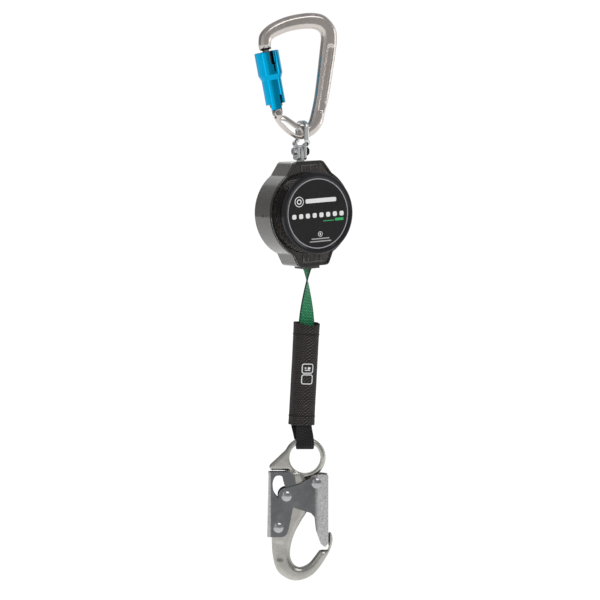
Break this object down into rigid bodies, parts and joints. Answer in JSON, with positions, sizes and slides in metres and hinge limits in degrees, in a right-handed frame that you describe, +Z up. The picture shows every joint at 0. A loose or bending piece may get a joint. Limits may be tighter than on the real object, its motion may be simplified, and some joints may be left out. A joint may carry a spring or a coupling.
{
  "type": "self retracting lifeline",
  "caption": "Personal self retracting lifeline: autolock carabiner, twisted shackle and swivel, round webbing housing, stitched energy absorber and double locking snap hook.",
  "frame": {"origin": "inside top of the carabiner, where it bears on the anchor", "axes": "+Z up along the hanging line, -Y out of the housing's label, +X to the right of the label"},
  "size_m": [0.0927, 0.0566, 0.5572],
  "materials": {
    "bright_aluminium": "polished forged",
    "blue_anodised": "satin anodised",
    "gate_metal": "satin",
    "zinc_steel": "bright zinc plate",
    "black_steel": "black oxide",
    "smoke_plastic": "smoke tinted translucent",
    "dark_smoke_plastic": "dark smoke tinted translucent",
    "seal_rubber": "matt",
    "black_plastic": "gloss",
    "silver_trim": "satin",
    "label_film": "matt film",
    "frame_steel": "zinc plate",
    "bush_bronze": "oiled bronze",
    "drum_aluminium": "turned",
    "spring_steel": "bright drawn",
    "green_webbing": "woven",
    "black_webbing": "woven",
    "cover_fabric": "coarse twill",
    "hook_steel": "yellow zinc plate, forged",
    "plate_steel": "blue zinc plate, pressed",
    "rivet_steel": "bright zinc plate",
    "guide_plastic": "moulded"
  },
  "bodies": {
    "carabiner": {"carabiner_body": "bright_aluminium", "gate_hinge_pin": "rivet_steel"},
    "carabiner_gate": {"carabiner_gate": "gate_metal", "gate_spring": "spring_steel", "gate_plunger": "bush_bronze", "sleeve_spring": "spring_steel", "sleeve_stop_pin": "rivet_steel"},
    "gate_sleeve": {"gate_sleeve": "blue_anodised"},
    "shackle": {"twisted_shackle": "zinc_steel", "shackle_bolt": "zinc_steel", "shackle_nut": "black_steel"},
    "swivel": {"swivel_eye": "zinc_steel", "swivel_nut": "black_steel"},
    "housing": {"swivel_bush": "bush_bronze", "swivel_washer": "zinc_steel", "rear_shell": "smoke_plastic", "front_shell": "dark_smoke_plastic", "seam_seal": "seal_rubber", "front_bezel": "black_plastic", "label_ring": "silver_trim", "front_label": "label_film", "rear_cover": "black_plastic", "housing_screws": "rivet_steel", "front_plate": "frame_steel", "rear_plate": "frame_steel", "frame_spacers": "frame_steel", "anchor_block": "frame_steel", "web_guide": "guide_plastic", "guide_bars": "zinc_steel", "shaft_bushes": "bush_bronze", "ratchet_ring": "black_steel", "ratchet_posts": "frame_steel", "power_spring": "spring_steel", "spring_cup": "black_plastic"},
    "drum": {"drum": "drum_aluminium", "drum_shaft": "rivet_steel", "shaft_clips": "black_steel", "wound_web": "green_webbing", "pawl_carrier": "frame_steel", "pawl_pins": "rivet_steel", "pawl_springs": "spring_steel"},
    "pawl_a": {"pawl_a": "black_steel"},
    "pawl_b": {"pawl_b": "black_steel"},
    "lifeline": {"lifeline_web": "green_webbing", "absorber_pack": "black_webbing", "absorber_cover": "cover_fabric", "web_loop": "black_webbing"},
    "hook": {"hook_body": "hook_steel", "gate_rivet": "rivet_steel", "lock_rivet": "rivet_steel", "hook_gate_spring": "spring_steel", "hook_lock_spring": "spring_steel"},
    "hook_gate": {"hook_gate": "plate_steel", "link_pin": "rivet_steel"},
    "hook_lever": {"hook_lock_lever": "plate_steel"}
  },
  "joints": [
    {"name": "gate_swing", "type": "hinge", "parent": "carabiner", "child": "carabiner_gate", "pos_m": [-0.02396, 0.00642, -0.0806], "axis": [0.2588, 0.9659, 0], "range_deg": [0, 24], "stiffness_Nm_per_rad": 0.4, "springref_deg": -22.92},
    {"name": "sleeve_twist", "type": "hinge", "parent": "carabiner_gate", "child": "gate_sleeve", "pos_m": [-0.02396, 0.00642, -0.0806], "axis": [-0.1803, 0.0483, 0.9824], "range_deg": [0, 96.1]},
    {"name": "shackle_swing", "type": "hinge", "parent": "carabiner", "child": "shackle", "pos_m": [0, 0, -0.0901], "axis": [0.2588, 0.9659, 0], "range_deg": [-14, 14]},
    {"name": "shackle_tilt", "type": "hinge", "parent": "shackle", "child": "swivel", "pos_m": [-0.0024, 0, -0.1182], "axis": [1, 0, 0], "range_deg": [-40, 40]},
    {"name": "housing_swivel", "type": "hinge", "parent": "swivel", "child": "housing", "pos_m": [-0.0024, 0, -0.1182], "axis": [-0.0558, 0, 0.9984], "continuous": true},
    {"name": "lifeline_pull", "type": "slide", "parent": "housing", "child": "lifeline", "axis": [0, 0, -1], "range_m": [0, 1.25], "stiffness_N_per_m": 10, "springref_m": -1.2, "deforming": ["lifeline_web"]},
    {"name": "drum_spin", "type": "hinge", "parent": "housing", "child": "drum", "pos_m": [0.00094, 0, -0.17791], "axis": [0, 1, 0], "range_deg": [0, 3240.5]},
    {"name": "pawl_a_throw", "type": "hinge", "parent": "drum", "child": "pawl_a", "pos_m": [0.00027, 0.0133, -0.16592], "axis": [0, -1, 0], "range_deg": [0, 18], "stiffness_Nm_per_rad": 0.02, "springref_deg": -17.19},
    {"name": "pawl_b_throw", "type": "hinge", "parent": "drum", "child": "pawl_b", "pos_m": [0.00161, 0.0133, -0.18989], "axis": [0, -1, 0], "range_deg": [0, 18.1]},
    {"name": "hook_swing", "type": "hinge", "parent": "lifeline", "child": "hook", "pos_m": [0.0015, -0.003, -0.4187], "axis": [0.454, 0.891, 0], "range_deg": [-20, 20]},
    {"name": "hook_gate_swing", "type": "hinge", "parent": "hook", "child": "hook_gate", "pos_m": [0.0113, -0.00799, -0.4433], "axis": [0.454, 0.891, 0], "range_deg": [0, 24], "stiffness_Nm_per_rad": 0.6, "springref_deg": -20.05},
    {"name": "hook_lock_press", "type": "hinge", "parent": "hook", "child": "hook_lever", "pos_m": [-0.02202, 0.00898, -0.4872], "axis": [0.454, 0.891, 0], "range_deg": [0, 7.05]}
  ],
  "couplings": [
    {"joint": "sleeve_twist", "follows": "gate_swing", "ratio": 4},
    {"joint": "drum_spin", "follows": "lifeline_pull", "rad_per_m": 45.239},
    {"joint": "pawl_b_throw", "follows": "pawl_a_throw", "ratio": 1},
    {"joint": "hook_lock_press", "follows": "hook_gate_swing", "ratio": 0.29167}
  ]
}
